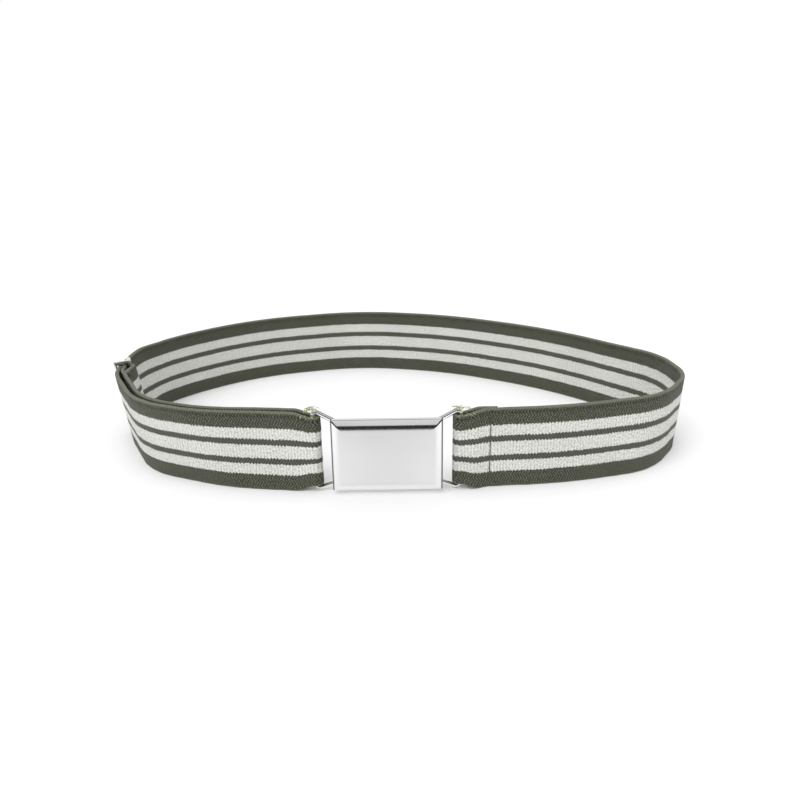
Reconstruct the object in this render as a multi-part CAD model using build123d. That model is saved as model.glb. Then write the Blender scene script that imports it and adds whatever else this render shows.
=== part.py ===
from build123d import *
import cmath
import os
from math import degrees, radians, tan

# A child's elastic waist belt with a two-part clasp, standing on its lower edge.
# Millimetres. +X to the wearer's left as seen from the front, +Y to the back of
# the loop, +Z up. The origin is under the middle of the loop, on the floor.

# Webbing
WEB_WIDTH = 25.0
WEB_THICK = 1.3
MID_Z = WEB_WIDTH / 2

# The loop in plan: corners of the webbing's centreline and the radius at each,
# anticlockwise from the right seam to the bar of the left ring.
LOOP_CORNERS = [
    (29.65, -52.5), (50.5, -52.0), (81.9, -43.6), (95.0, -25.2), (93.4, -5.4),
    (62.0, 30.0), (24.0, 52.5), (-13.0, 61.5), (-56.5, 50.0), (-78.3, 30.5),
    (-100.2, 3.5), (-75.5, -41.3), (-52.5, -50.8), (-22.25, -54.75),
]
LOOP_RADII = [120.0, 26.0, 18.0, 24.0, 130.0, 105.0, 66.0, 80.0, 72.0, 41.2, 28.0, 66.0]
LEFT_BEND = 9  # the corner whose arc carries the slider

# Stations along the loop, as x on its front run or as a share of its length
RIGHT_SWING_X = 62.0
LEFT_SWING_X = -62.0
SWING_GAP = 0.5
BEND_END_SHARE = 0.29
BACK_MID_SHARE = 0.50

# The clasp's middle; its own parts are placed from there
CLASP_X = -0.4
CLASP_Z = 12.65

# Clasp rings: a round rod bent to a closed trapezoid, its long bar in the webbing's fold
BAR_X = 21.6
BAR_Y = -53.2
ROD_R = 0.75
BAR_HALF = 12.8
CROSSBAR_X = 12.6
CROSSBAR_Y = -55.1
CROSSBAR_HALF = 8.6
RING_CORNER = 1.6
PIVOT_PLAY = 0.1

# Folds of webbing round the bars
FOLD_HALF = 10.3
FOLD_R = ROD_R + PIVOT_PLAY + WEB_THICK / 2
FOLD_OUTER = FOLD_R + WEB_THICK / 2
FOLD_LEG = 2.4
SEAM_X = 30.0
SEAM_TAIL = 2.0
LAYER_STEP = 2.5  # from the outer layer's centreline to the inner layer's

# Cover: a bevelled shell, open at the back
COVER_W = 32.0
COVER_H = 22.2
COVER_FRONT_Y = -59.0
COVER_BEVEL_Y = -57.5
COVER_BACK_Y = -56.3
BEVEL = 1.9
COVER_WALL = 0.8

# Base plate with studs and magnet, inside the cover
PLATE_THICK = 0.6
PLATE_BACK_Y = -56.5
PLATE_LEFT_X = -15.0
PLATE_RIGHT_X = 10.0
PLATE_H = 20.2
STUD_R = 1.5
STUD_Z = 6.5
STUD_LENGTH = 2.6
STUD_FLANGE_R = 2.2
STUD_FLANGE = 0.5
STUD_CHAMFER = 0.5
RIVET_R = 0.9
RIVET_X = (-11.0, 6.5)
RIVET_Z = 7.0
RIVET_HEAD = 0.35
RIVET_HEAD_R = 1.44
FIT_GAP = 0.03
MAGNET_THICK = 1.0
COVER_MAGNET_X = -5.5
COVER_MAGNET_R = 3.5
TAB_HALF = 5.0

# Catch plate on the other ring
CATCH_THICK = 0.8
CATCH_FRONT_Y = -56.0
CATCH_LEFT_X = -8.5
CATCH_H = 19.0
HOLE_PLAY = 0.6
SLEEVE_GAP = 0.05
SLEEVE_THICK = 0.6
CUP_THICK = 0.4
CATCH_MAGNET_X = 6.0
CATCH_MAGNET_R = 3.9
CUP_R = 4.5

# Slider: a bent three-bar frame on the left bend. Its bars are placed from the
# webbing's centreline: outward, and forward along it.
SLIDER_ANGLE = 184.3  # the centre bar's place on the bend, from the bend's centre
SLIDER_SLOT = 22.9
SLIDER_WEB = 22.5
SLIDER_RAIL = 1.2
SLIDER_RAIL_WIDTH = 1.3
SLIDER_MID_Z = SLIDER_SLOT / 2 + SLIDER_RAIL  # the slider stands on the floor too
NEAR_BAR = (1.5, 2.1)  # outside the webbing
FAR_BAR = (-1.8, -2.9)  # inside the webbing
CENTRE_BAR = (-2.8, 0.0)
SLIDER_BAR_R = 0.6

# The webbing's sewn end on the slider's centre bar
TAB_ANGLE = 15.5
TAB_NEAR = 0.9
TAB_FAR = 3.6
TAB_SEAM_ANGLE = 12.0

# Thread
THREAD = 0.35
STITCH_LENGTH = 2.2
STITCH_PITCH = 3.0
STITCH_SPAN = 22.0

# Working lengths: a hole's cut past each face, and the tolerance on stations
CUT_PAST = 1.0
STATION_TOLERANCE = 1e-6
SHORTEST_EDGE = 0.01


def rounded(corners, radii):
    """The loop as (start, heading, length, curvature) pieces, as complex numbers."""
    points = [complex(x, y) for x, y in corners]
    pieces = []
    here = points[0]
    for before, corner, after, radius in zip(points, points[1:], points[2:], radii):
        way_in = (corner - before) / abs(corner - before)
        way_out = (after - corner) / abs(after - corner)
        turn = cmath.phase(way_out / way_in)
        reach = radius * abs(tan(turn / 2))
        start = corner - way_in * reach
        pieces.append((here, way_in, abs(start - here), 0.0))
        pieces.append((start, way_in, radius * abs(turn), (1 if turn > 0 else -1) / radius))
        here = corner + way_out * reach
    end = points[-1]
    pieces.append((here, (end - here) / abs(end - here), abs(end - here), 0.0))
    return pieces


PIECES = rounded(LOOP_CORNERS, LOOP_RADII)
LENGTHS = [piece[2] for piece in PIECES]
LOOP_LENGTH = sum(LENGTHS)
BREAKS = [sum(LENGTHS[:k]) for k in range(len(LENGTHS) + 1)]


def along(distance):
    """Point, heading and curvature of the centreline at a distance along it."""
    k = 0
    while k < len(PIECES) - 1 and distance > BREAKS[k + 1]:
        k += 1
    start, heading, _, curvature = PIECES[k]
    step = distance - BREAKS[k]
    if curvature == 0.0:
        return start + heading * step, heading, 0.0
    turned = cmath.exp(1j * curvature * step)
    return start + heading * (turned - 1) / (1j * curvature), heading * turned, curvature


def offset_point(distance, outward):
    """A plan point beside the centreline; outward is away from the waist."""
    point, heading, _ = along(distance)
    moved = point - 1j * heading * outward
    return (moved.real, moved.imag)


def offset_edges(first, last, outward):
    """Lines and arcs parallel to the centreline, from first to last."""
    inside = [b for b in BREAKS if first + SHORTEST_EDGE < b < last - SHORTEST_EDGE]
    stations = [first] + inside + [last]
    edges = []
    for a, b in zip(stations, stations[1:]):
        ends = offset_point(a, outward), offset_point(b, outward)
        middle = (a + b) / 2
        if along(middle)[2] == 0.0:
            edges.append(Line(*ends))
        else:
            edges.append(ThreePointArc(ends[0], offset_point(middle, outward), ends[1]))
    return edges


def strip(first, last, outward=0.0, thick=WEB_THICK):
    """Plan face of a stretch of webbing."""
    near = offset_edges(first, last, outward - thick / 2)
    far = offset_edges(first, last, outward + thick / 2)
    caps = [
        Line(offset_point(s, outward - thick / 2), offset_point(s, outward + thick / 2))
        for s in (first, last)
    ]
    return make_face(Curve() + near + far + caps)


def stand(face, half_height=MID_Z, mid_z=MID_Z):
    """A plan face made into an upright solid about a mid height."""
    return Pos(0, 0, mid_z - half_height) * extrude(face, amount=2 * half_height, dir=(0, 0, 1))


def station_at_x(x, on_left):
    """Distance along the loop where its front run passes x."""
    quarter = LOOP_LENGTH / 4
    low, high = (3 * quarter, LOOP_LENGTH) if on_left else (0.0, quarter)
    while high - low > STATION_TOLERANCE:
        middle = (low + high) / 2
        if along(middle)[0].real < x:
            low = middle
        else:
            high = middle
    return low


def bend_centre():
    """Centre of the left bend, where the slider's travel turns."""
    start, heading, _, curvature = PIECES[2 * LEFT_BEND + 1]
    return start + 1j * heading / curvature


BEND_START = BREAKS[2 * LEFT_BEND + 1]
BEND_END = BREAKS[2 * LEFT_BEND + 2]
BEND_RADIUS = LOOP_RADII[LEFT_BEND]
BEND_CENTRE = bend_centre()
RIGHT_SWING = station_at_x(RIGHT_SWING_X, False)
LEFT_SWING = station_at_x(LEFT_SWING_X, True)


def bend_angle(distance):
    """Angle about the left bend's centre of a station on the bend, in degrees."""
    return degrees(cmath.phase(along(distance)[0] - BEND_CENTRE)) % 360


def on_bend(angle, radius):
    """Plan point at an angle and radius about the left bend's centre."""
    point = BEND_CENTRE + cmath.rect(radius, radians(angle))
    return (point.real, point.imag)


def bend_station(angle):
    """Distance along the loop of an angle about the left bend's centre."""
    return BEND_START + BEND_RADIUS * radians(angle - bend_angle(BEND_START))


def at_slider(shape):
    """Put a shape modelled about the slider's middle (X out, Y forward) in place."""
    x, y = on_bend(SLIDER_ANGLE, BEND_RADIUS)
    return Pos(x, y, SLIDER_MID_Z) * Rot(0, 0, SLIDER_ANGLE) * shape


def upright_rod(x, y, radius, half_height, mid_z=0.0):
    """A vertical cylinder."""
    return Pos(x, y, mid_z) * Cylinder(radius, 2 * half_height)


def webbing_nodes():
    """Every stretch of the webbing, cut where it bends most or turns a joint."""
    gap = SWING_GAP / 2
    back_start = LOOP_LENGTH * BEND_END_SHARE
    back_middle = LOOP_LENGTH * BACK_MID_SHARE
    bend = strip(BEND_START, BEND_END)
    bend_stop = BEND_END + SWING_GAP
    front = LEFT_SWING + gap, LOOP_LENGTH - FOLD_LEG
    inner = -LAYER_STEP
    return {
        "webbing_right_fold": right_fold(),
        "webbing_right_front": stand(strip(0, RIGHT_SWING - gap)),
        "webbing_right_bend": stand(strip(RIGHT_SWING + gap, back_start)),
        "webbing_back_right": stand(strip(back_start, back_middle)),
        "webbing_back_left": stand(strip(back_middle, BEND_START)),
        "webbing_left_bend": stand(bend, SLIDER_WEB / 2, SLIDER_MID_Z),
        "webbing_outer_bend": stand(strip(BEND_END, LEFT_SWING - gap)),
        "webbing_inner_bend": stand(strip(bend_stop, LEFT_SWING - gap, inner)),
        "webbing_outer_front": stand(strip(*front)),
        "webbing_inner_front": stand(strip(*front, inner)),
        "webbing_left_fold": left_fold(),
        "webbing_end_tab": end_tab(),
    }


def fold_face():
    """Plan of a fold round a bar at the origin, with two legs towards -X."""
    inner = FOLD_OUTER - WEB_THICK
    legs = Pos(-FOLD_LEG / 2, 0)
    solid = Circle(FOLD_OUTER) + legs * Rectangle(FOLD_LEG, 2 * FOLD_OUTER)
    hollow = Circle(inner) + legs * Rectangle(FOLD_LEG, 2 * inner)
    return solid - hollow


def right_fold():
    """Fold round the right bar and the doubled webbing up to its seam."""
    bar = Pos(CLASP_X + BAR_X, BAR_Y)
    turn = stand(bar * Rot(0, 0, 180) * fold_face(), FOLD_HALF, CLASP_Z)
    length = SEAM_X - BAR_X - FOLD_LEG
    doubled = bar * Pos(FOLD_LEG + length / 2, 0) * Rectangle(length, 2 * FOLD_OUTER)
    return turn + stand(doubled)


def left_fold():
    """Fold round the left bar, as far as the two layers of the strap."""
    heading = degrees(cmath.phase(along(LOOP_LENGTH)[1]))
    place = Pos(CLASP_X - BAR_X, BAR_Y) * Rot(0, 0, heading)
    return stand(place * fold_face(), FOLD_HALF, CLASP_Z)


def end_tab():
    """The webbing's end, folded round the slider's centre bar and sewn."""
    first, last = bend_station(SLIDER_ANGLE), bend_station(SLIDER_ANGLE + TAB_ANGLE)
    doubled = strip(first, last, -(TAB_NEAR + TAB_FAR) / 2, TAB_FAR - TAB_NEAR)
    legs = stand(doubled, SLIDER_WEB / 2, SLIDER_MID_Z)
    hole = SLIDER_BAR_R + PIVOT_PLAY
    wrap = at_slider(upright_rod(*CENTRE_BAR, hole + WEB_THICK, SLIDER_WEB / 2))
    bar = at_slider(upright_rod(*CENTRE_BAR, hole, SLIDER_WEB))
    return legs + wrap - bar


def slider_frame():
    """Two bent rails joined by an end bar each side and a centre bar between."""
    bars = (NEAR_BAR, CENTRE_BAR, FAR_BAR)
    rail_face = trace(Polyline(*bars), SLIDER_RAIL_WIDTH)
    for x, y in bars:
        rail_face += Pos(x, y) * Circle(SLIDER_RAIL_WIDTH / 2)
    rail = extrude(rail_face, amount=SLIDER_RAIL, dir=(0, 0, 1))
    frame = Pos(0, 0, SLIDER_SLOT / 2) * rail
    frame += Pos(0, 0, -SLIDER_SLOT / 2 - SLIDER_RAIL) * rail
    for x, y in bars:
        frame += upright_rod(x, y, SLIDER_BAR_R, SLIDER_SLOT / 2 + SLIDER_RAIL / 2)
    return at_slider(frame)


def ring(side):
    """A closed loop of rod: bar in the fold, splayed rails, crossbar in the clasp."""
    bar_x, cross_x = side * BAR_X, side * CROSSBAR_X
    corners = [
        (bar_x, BAR_Y, BAR_HALF),
        (cross_x, CROSSBAR_Y, CROSSBAR_HALF),
        (cross_x, CROSSBAR_Y, -CROSSBAR_HALF),
        (bar_x, BAR_Y, -BAR_HALF),
    ]
    spine = FilletPolyline(*corners, radius=RING_CORNER, close=True)
    start = Plane(origin=spine @ 0, z_dir=spine % 0)
    return sweep(start * Circle(ROD_R), path=spine)


def box_between(x0, x1, y0, y1, z0, z1):
    """A box from its corner coordinates."""
    middle = Pos((x0 + x1) / 2, (y0 + y1) / 2, (z0 + z1) / 2)
    return middle * Box(x1 - x0, y1 - y0, z1 - z0)


def facing_back(y):
    """A sketch plane at y whose normal points to the back, X to the right."""
    return Plane(origin=(0, y, 0), x_dir=(-1, 0, 0), z_dir=(0, 1, 0))


def cover_shell():
    """Bevelled rectangular shell of even wall, open at the back."""
    def body(shrink, front):
        width, height = COVER_W - 2 * shrink, COVER_H - 2 * shrink
        wide = facing_back(COVER_BEVEL_Y) * Rectangle(width, height)
        small = Rectangle(width - 2 * BEVEL, height - 2 * BEVEL)
        narrow = facing_back(front) * small
        rim = extrude(wide, amount=COVER_BACK_Y - COVER_BEVEL_Y, dir=(0, 1, 0))
        return rim + loft([narrow.face(), wide.face()], ruled=True)

    outside = body(0.0, COVER_FRONT_Y)
    inside = body(COVER_WALL, COVER_FRONT_Y + COVER_WALL)
    return outside - inside


def stud_places():
    """Places of the two studs."""
    return [(0.0, -STUD_Z), (0.0, STUD_Z)]


def rivet_places():
    """Places of the four rivets that hold the base plate in the cover."""
    return [(x, side * RIVET_Z) for x in RIVET_X for side in (-1, 1)]


def disc(x, z, y0, y1, radius):
    """A cylinder along Y between two depths."""
    sketch = Plane(origin=(x, y0, z), z_dir=(0, 1, 0)) * Circle(radius)
    return extrude(sketch, amount=y1 - y0, dir=(0, 1, 0))


def base_plate():
    """Plate inside the cover, with a clip closed round the left crossbar."""
    front = PLATE_BACK_Y - PLATE_THICK
    plate = box_between(
        PLATE_LEFT_X, PLATE_RIGHT_X, front, PLATE_BACK_Y, -PLATE_H / 2, PLATE_H / 2
    )
    hole = ROD_R + SLEEVE_GAP
    clip_r = hole + SLEEVE_THICK
    plate += upright_rod(-CROSSBAR_X, CROSSBAR_Y, clip_r, TAB_HALF)
    plate += box_between(
        -CROSSBAR_X, clip_r - CROSSBAR_X, front, CROSSBAR_Y, -TAB_HALF, TAB_HALF
    )
    plate -= upright_rod(-CROSSBAR_X, CROSSBAR_Y, hole, PLATE_H)
    for x, z in stud_places():
        plate -= disc(x, z, front - CUT_PAST, PLATE_BACK_Y + CUT_PAST, STUD_R + FIT_GAP)
    for x, z in rivet_places():
        plate -= disc(x, z, front - CUT_PAST, PLATE_BACK_Y + CUT_PAST, RIVET_R + FIT_GAP)
    return plate


def studs():
    """Two domed studs, flanged in front of the base plate."""
    group = []
    front = PLATE_BACK_Y - PLATE_THICK
    for x, z in stud_places():
        tip = PLATE_BACK_Y + STUD_LENGTH
        shank = disc(x, z, front, tip, STUD_R)
        shank = chamfer(shank.edges().sort_by(Axis.Y)[-1], STUD_CHAMFER)
        group.append(shank + disc(x, z, front - STUD_FLANGE, front, STUD_FLANGE_R))
    return Compound(children=group)


def rivets():
    """Four rivets through the base plate, welded to the back of the cover's face."""
    group = []
    for x, z in rivet_places():
        head = PLATE_BACK_Y + RIVET_HEAD
        shank = disc(x, z, COVER_FRONT_Y + COVER_WALL, PLATE_BACK_Y, RIVET_R)
        group.append(shank + disc(x, z, PLATE_BACK_Y, head, RIVET_HEAD_R))
    return Compound(children=group)


def cover_magnet():
    """Disc magnet between the cover's face and the base plate."""
    back = PLATE_BACK_Y - PLATE_THICK
    return disc(COVER_MAGNET_X, 0, back - MAGNET_THICK, back, COVER_MAGNET_R)


def catch_plate():
    """Plate with two stud holes, rolled round the right ring's crossbar."""
    back = CATCH_FRONT_Y + CATCH_THICK
    plate = box_between(
        CATCH_LEFT_X, CROSSBAR_X, CATCH_FRONT_Y, back, -CATCH_H / 2, CATCH_H / 2
    )
    hole = ROD_R + SLEEVE_GAP
    plate += upright_rod(CROSSBAR_X, CROSSBAR_Y, hole + SLEEVE_THICK, TAB_HALF)
    plate -= upright_rod(CROSSBAR_X, CROSSBAR_Y, hole, CATCH_H)
    for x, z in stud_places():
        plate -= disc(x, z, CATCH_FRONT_Y - CUT_PAST, back + CUT_PAST, STUD_R + HOLE_PLAY)
    return plate


def catch_magnet():
    """Disc magnet on the back of the catch plate."""
    back = CATCH_FRONT_Y + CATCH_THICK
    return disc(CATCH_MAGNET_X, 0, back, back + MAGNET_THICK, CATCH_MAGNET_R)


def magnet_cup():
    """Pressed cup that holds the catch magnet to the plate."""
    back = CATCH_FRONT_Y + CATCH_THICK
    outer = disc(CATCH_MAGNET_X, 0, back, back + MAGNET_THICK + CUP_THICK, CUP_R)
    return outer - catch_magnet()


def stitch_heights():
    """Mid heights of the stitches of one vertical row."""
    count = int(STITCH_SPAN / STITCH_PITCH)
    return [MID_Z + (k - (count - 1) / 2) * STITCH_PITCH for k in range(count)]


def right_stitching():
    """A vertical row of stitches across the right seam, on both faces."""
    group = []
    x = CLASP_X + SEAM_X - SEAM_TAIL
    for z in stitch_heights():
        for y in (BAR_Y - FOLD_OUTER - THREAD, BAR_Y + FOLD_OUTER):
            low, high = z - STITCH_LENGTH / 2, z + STITCH_LENGTH / 2
            group.append(box_between(x - THREAD, x + THREAD, y, y + THREAD, low, high))
    return Compound(children=group)


def tab_stitching():
    """A vertical row of stitches across the slider tab, on the waist side."""
    group = []
    angle = SLIDER_ANGLE + TAB_SEAM_ANGLE
    x, y = on_bend(angle, BEND_RADIUS - TAB_FAR - THREAD / 2)
    for z in stitch_heights():
        stitch = Rot(0, 0, angle) * Box(THREAD, 2 * THREAD, STITCH_LENGTH)
        group.append(Pos(x, y, z) * stitch)
    return Compound(children=group)


def clasp_nodes():
    """The clasp's own parts, modelled about its middle and then put in place."""
    parts = {
        "left_ring": ring(-1),
        "right_ring": ring(1),
        "cover_shell": cover_shell(),
        "base_plate": base_plate(),
        "clasp_studs": studs(),
        "cover_rivets": rivets(),
        "cover_magnet": cover_magnet(),
        "catch_plate": catch_plate(),
        "catch_magnet": catch_magnet(),
        "magnet_cup": magnet_cup(),
    }
    return {name: Pos(CLASP_X, 0, CLASP_Z) * part for name, part in parts.items()}


def all_nodes():
    """Every sub-part by its node name."""
    return {
        **webbing_nodes(),
        **clasp_nodes(),
        "slider_frame": slider_frame(),
        "right_seam_stitching": right_stitching(),
        "slider_tab_stitching": tab_stitching(),
    }


def main():
    os.makedirs("parts", exist_ok=True)
    for name, shape in all_nodes().items():
        export_step(shape, f"parts/{name}.step")
    print("bend centre", BEND_CENTRE, "bend angles", bend_angle(BEND_START), bend_angle(BEND_END))
    print("loop length", LOOP_LENGTH)
    for name, station, side in (("right", RIGHT_SWING, -1), ("left", LEFT_SWING, 1)):
        print(name, "swing pivot", offset_point(station, side * WEB_THICK / 2))


main()
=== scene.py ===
import cmath
import math
import random

import bmesh
import bpy
from mathutils import Matrix, Vector


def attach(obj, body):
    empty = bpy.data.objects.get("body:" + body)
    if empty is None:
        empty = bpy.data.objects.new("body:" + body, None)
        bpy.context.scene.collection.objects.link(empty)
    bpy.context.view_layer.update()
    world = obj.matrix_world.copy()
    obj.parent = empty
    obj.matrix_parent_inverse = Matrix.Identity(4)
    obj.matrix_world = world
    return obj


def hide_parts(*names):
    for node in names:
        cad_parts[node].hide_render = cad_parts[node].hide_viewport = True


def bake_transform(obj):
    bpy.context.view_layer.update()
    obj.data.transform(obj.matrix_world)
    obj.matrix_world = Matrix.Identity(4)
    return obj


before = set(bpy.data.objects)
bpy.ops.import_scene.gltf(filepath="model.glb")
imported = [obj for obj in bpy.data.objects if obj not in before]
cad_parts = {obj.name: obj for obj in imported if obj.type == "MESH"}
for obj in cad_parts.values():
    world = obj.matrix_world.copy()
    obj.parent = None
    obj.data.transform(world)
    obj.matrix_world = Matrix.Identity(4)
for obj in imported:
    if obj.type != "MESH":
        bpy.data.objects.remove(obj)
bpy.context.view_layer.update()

# An elastic belt standing on its lower edge as a closed loop, clasp to the front.
# Numbers are millimetres in the frame's axes unless a name says otherwise.
MM = 0.001

# Webbing
WIDTH = 25.0
THICK = 1.3
EDGE_ROUND = 0.5
EDGE_THIN = 0.35  # share of the thickness left at the very edge
LAYER_STEP = 2.5

# The loop's centreline in plan, anticlockwise from the right seam to the left bar
LOOP_CORNERS = [
    (29.65, -52.5), (50.5, -52.0), (81.9, -43.6), (95.0, -25.2), (93.4, -5.4),
    (62.0, 30.0), (24.0, 52.5), (-13.0, 61.5), (-56.5, 50.0), (-78.3, 30.5),
    (-100.2, 3.5), (-75.5, -41.3), (-52.5, -50.8), (-22.25, -54.75),
]
LOOP_RADII = [120.0, 26.0, 18.0, 24.0, 130.0, 105.0, 66.0, 80.0, 72.0, 41.2, 28.0, 66.0]
LEFT_BEND = 9

# Clasp
BAR_Y = -53.2
RING_TOP = 25.31
LEFT_BAR_X = -22.0
RIGHT_BAR_X = 21.2
CLASP_MID = (-0.4, 12.65)
FOLD_R = 1.5
FOLD_HEIGHT = 21.8
FOLD_SLACK = 0.45

# Right fold: its flap, seam and the step down to the single webbing
FLAP_END = (31.6, -51.75)
SEAM_X = 29.6
SEAM_FRONT_Y = -53.0
FRONT_RUN = [(24.8, -54.7), (28.4, -53.2), (35.0, -52.43)]
FRONT_RUN_R = [5.0, 5.0, 8.0]
FRONT_LIMIT = 40.0

# Slider
SLIDER_ANGLE = 184.3
SLIDER_MID_Z = 12.65
SLIDER_WEB = 22.5
CENTRE_BAR_IN = 2.8
CUT_ANGLE = 190.0
TAB_WRAP_R = 1.35
TAB_END_ANGLE = 199.8
TAB_SEAM_ANGLE = 196.3

# How far the webbing leans outwards at its top edge, and where it starts and stops:
# angles and distances before the loop's end on the left, stations on the right
LEFT_LEAN = 1.4
LEFT_LEAN_ANGLES = (150, 165)
LEFT_LEAN_END = (14, 42)
RIGHT_LEAN = 0.6
RIGHT_LEAN_START = (42, 60)
RIGHT_LEAN_END = (118, 96)

# Distances over which the webbing narrows: to the slider, and to a ring's bar
SLIDER_PINCH = (17, 4)
FOLD_PINCH = (8.5, 2.4)


# ---------------------------------------------------------------- plan paths

OPEN_STEP = 1.2
TIGHT_STEP = 0.25
TIGHT_BEND = 0.1  # curvature, one over the radius


class Path:
    """Straight runs joined by tangent arcs, measured along their length."""

    def __init__(self, corners, radii):
        points = [complex(*c) if isinstance(c, tuple) else c for c in corners]
        self.runs = []
        here = points[0]
        for before, corner, after, radius in zip(points, points[1:], points[2:], radii):
            way_in = (corner - before) / abs(corner - before)
            way_out = (after - corner) / abs(after - corner)
            turn = cmath.phase(way_out / way_in)
            reach = radius * abs(math.tan(turn / 2))
            start = corner - way_in * reach
            self.runs.append((here, way_in, abs(start - here), 0.0))
            bend = math.copysign(1 / radius, turn)
            self.runs.append((start, way_in, radius * abs(turn), bend))
            here = corner + way_out * reach
        end = points[-1]
        self.runs.append((here, (end - here) / abs(end - here), abs(end - here), 0.0))
        self.starts = [sum(r[2] for r in self.runs[:k]) for k in range(len(self.runs) + 1)]
        self.length = self.starts[-1]

    def run_at(self, distance):
        """Number of the run or arc that a distance falls on."""
        k = 0
        while k < len(self.runs) - 1 and distance > self.starts[k + 1]:
            k += 1
        return k

    def at(self, distance):
        """Point and heading at a distance along the path."""
        k = self.run_at(distance)
        start, heading, _, bend = self.runs[k]
        step = distance - self.starts[k]
        if bend == 0.0:
            return start + heading * step, heading
        turned = cmath.exp(1j * bend * step)
        return start + heading * (turned - 1) / (1j * bend), heading * turned

    def step_at(self, distance):
        """A mesh step fine enough for the bend there and next to it."""
        k = self.run_at(distance)
        tightest = max(abs(run[3]) for run in self.runs[max(0, k - 1):k + 2])
        return OPEN_STEP if tightest < TIGHT_BEND else TIGHT_STEP


def inset_corner(before, corner, after, inwards):
    """The corner of a path parallel to two runs, on the left of their heading."""
    first, second = (corner - before), (after - corner)
    left = 1j * first / abs(first)
    right = 1j * second / abs(second)
    share = 1 + (left * right.conjugate()).real
    return corner + inwards * (left + right) / share


def smooth(low, high, value):
    """Rises from 0 at low to 1 at high, level at both ends."""
    t = min(1.0, max(0.0, (value - low) / (high - low)))
    return t * t * (3 - 2 * t)


LOOP = Path(LOOP_CORNERS, LOOP_RADII)
BEND_START = LOOP.starts[2 * LEFT_BEND + 1]
BEND_RADIUS = LOOP_RADII[LEFT_BEND]
BEND_CENTRE = LOOP.at(BEND_START)[0] + 1j * LOOP.at(BEND_START)[1] * BEND_RADIUS


def bend_angle(station):
    return math.degrees(cmath.phase(LOOP.at(station)[0] - BEND_CENTRE)) % 360


BEND_FROM = bend_angle(BEND_START)
BEND_TO = bend_angle(LOOP.starts[2 * LEFT_BEND + 2])


def bend_station(angle):
    """Distance along the loop of an angle about the left bend's centre."""
    return BEND_START + BEND_RADIUS * math.radians(angle - BEND_FROM)


def on_bend(angle, radius):
    return BEND_CENTRE + cmath.rect(radius, math.radians(angle))


SLIDER_AT = bend_station(SLIDER_ANGLE)


# ------------------------------------------------------------- webbing shape

def lean_at(station):
    """How far the top edge leans out at a station of the loop."""
    left = smooth(*(bend_station(angle) for angle in LEFT_LEAN_ANGLES), station)
    left *= smooth(*(LOOP.length - before for before in LEFT_LEAN_END), station)
    right = smooth(*RIGHT_LEAN_START, station) * smooth(*RIGHT_LEAN_END, station)
    return LEFT_LEAN * left + RIGHT_LEAN * right


def near_slider(station):
    """1 under the slider, 0 where the webbing has its full width again."""
    return smooth(*SLIDER_PINCH, abs(station - SLIDER_AT))


EDGE_ROWS = (0.0, 0.1, 0.25, 0.5, 0.9)
MIDDLE_ROWS = 22


def section():
    """The webbing's cross-section: (share of half thickness, height) going round."""
    edge = EDGE_ROWS[-1]
    rows = list(EDGE_ROWS)
    rows += [edge + (WIDTH - 2 * edge) * k / MIDDLE_ROWS for k in range(1, MIDDLE_ROWS)]
    rows += [WIDTH - row for row in reversed(EDGE_ROWS)]
    outside = [(edge_share(v), v) for v in rows]
    inside = [(-edge_share(v), v) for v in reversed(rows)]
    return outside + inside


def edge_share(v):
    """How thick the webbing is near an edge, which is rounded, as a share."""
    from_edge = min(v, WIDTH - v)
    if from_edge >= EDGE_ROUND:
        return 1.0
    rounded = math.sqrt(1 - (1 - from_edge / EDGE_ROUND) ** 2)
    return EDGE_THIN + (1 - EDGE_THIN) * rounded


SECTION = section()


RIPPLE = 0.05  # how far the webbing's faces wave


class Station:
    """One cross-section of a webbing piece."""

    def __init__(self, point, heading, lean=0.0, low=0.0, height=WIDTH, dent=0.0):
        self.point = point
        self.out = -1j * heading
        self.lean = lean
        self.low = low
        self.height = height
        self.dent = dent


def webbing(name, stations, along_start=0.0):
    """A closed strip of webbing through its stations, with its own coordinates stored."""
    mesh = bpy.data.meshes.new(name)
    verts, coords = [], []
    along = along_start
    for k, station in enumerate(stations):
        if k:
            along += abs(station.point - stations[k - 1].point)
        for share, v in SECTION:
            tilt = station.lean * (v - WIDTH / 2) / (WIDTH / 2)
            ripple = RIPPLE * math.sin(along * 0.9 + v * 0.7) * math.sin(along * 0.23)
            aside = share * THICK / 2 + tilt + ripple - station.dent
            place = station.point + station.out * aside
            z = station.low + v / WIDTH * station.height
            verts.append((place.real * MM, place.imag * MM, z * MM))
            coords.append((along, v, share))
    ring = len(SECTION)
    faces = []
    for k in range(len(stations) - 1):
        for j in range(ring):
            a, b = k * ring + j, k * ring + (j + 1) % ring
            faces.append((a, a + ring, b + ring, b))
    faces.append(tuple(range(ring)))
    last = (len(stations) - 1) * ring
    faces.append(tuple(last + j for j in reversed(range(ring))))
    mesh.from_pydata(verts, [], faces)
    mesh.update()
    store = mesh.attributes.new("web", "FLOAT_VECTOR", "POINT")
    store.data.foreach_set("vector", [c for triple in coords for c in triple])
    return finished(name, mesh, MATERIALS["webbing"])


def finished(name, mesh, material, smooth_shading=True):
    """A scene object from a mesh, with consistent normals, a material and a slot."""
    work = bmesh.new()
    work.from_mesh(mesh)
    bmesh.ops.recalc_face_normals(work, faces=work.faces)
    work.to_mesh(mesh)
    work.free()
    for polygon in mesh.polygons:
        polygon.use_smooth = smooth_shading
    piece = bpy.data.objects.new(name, mesh)
    bpy.context.scene.collection.objects.link(piece)
    mesh.materials.append(material)
    return piece


# ------------------------------------------------------------------ materials

def node_material(name):
    """A new material with its node tree and Principled shader."""
    material = bpy.data.materials.new(name)
    material.use_nodes = True
    tree = material.node_tree
    return material, tree, tree.nodes["Principled BSDF"]


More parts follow.
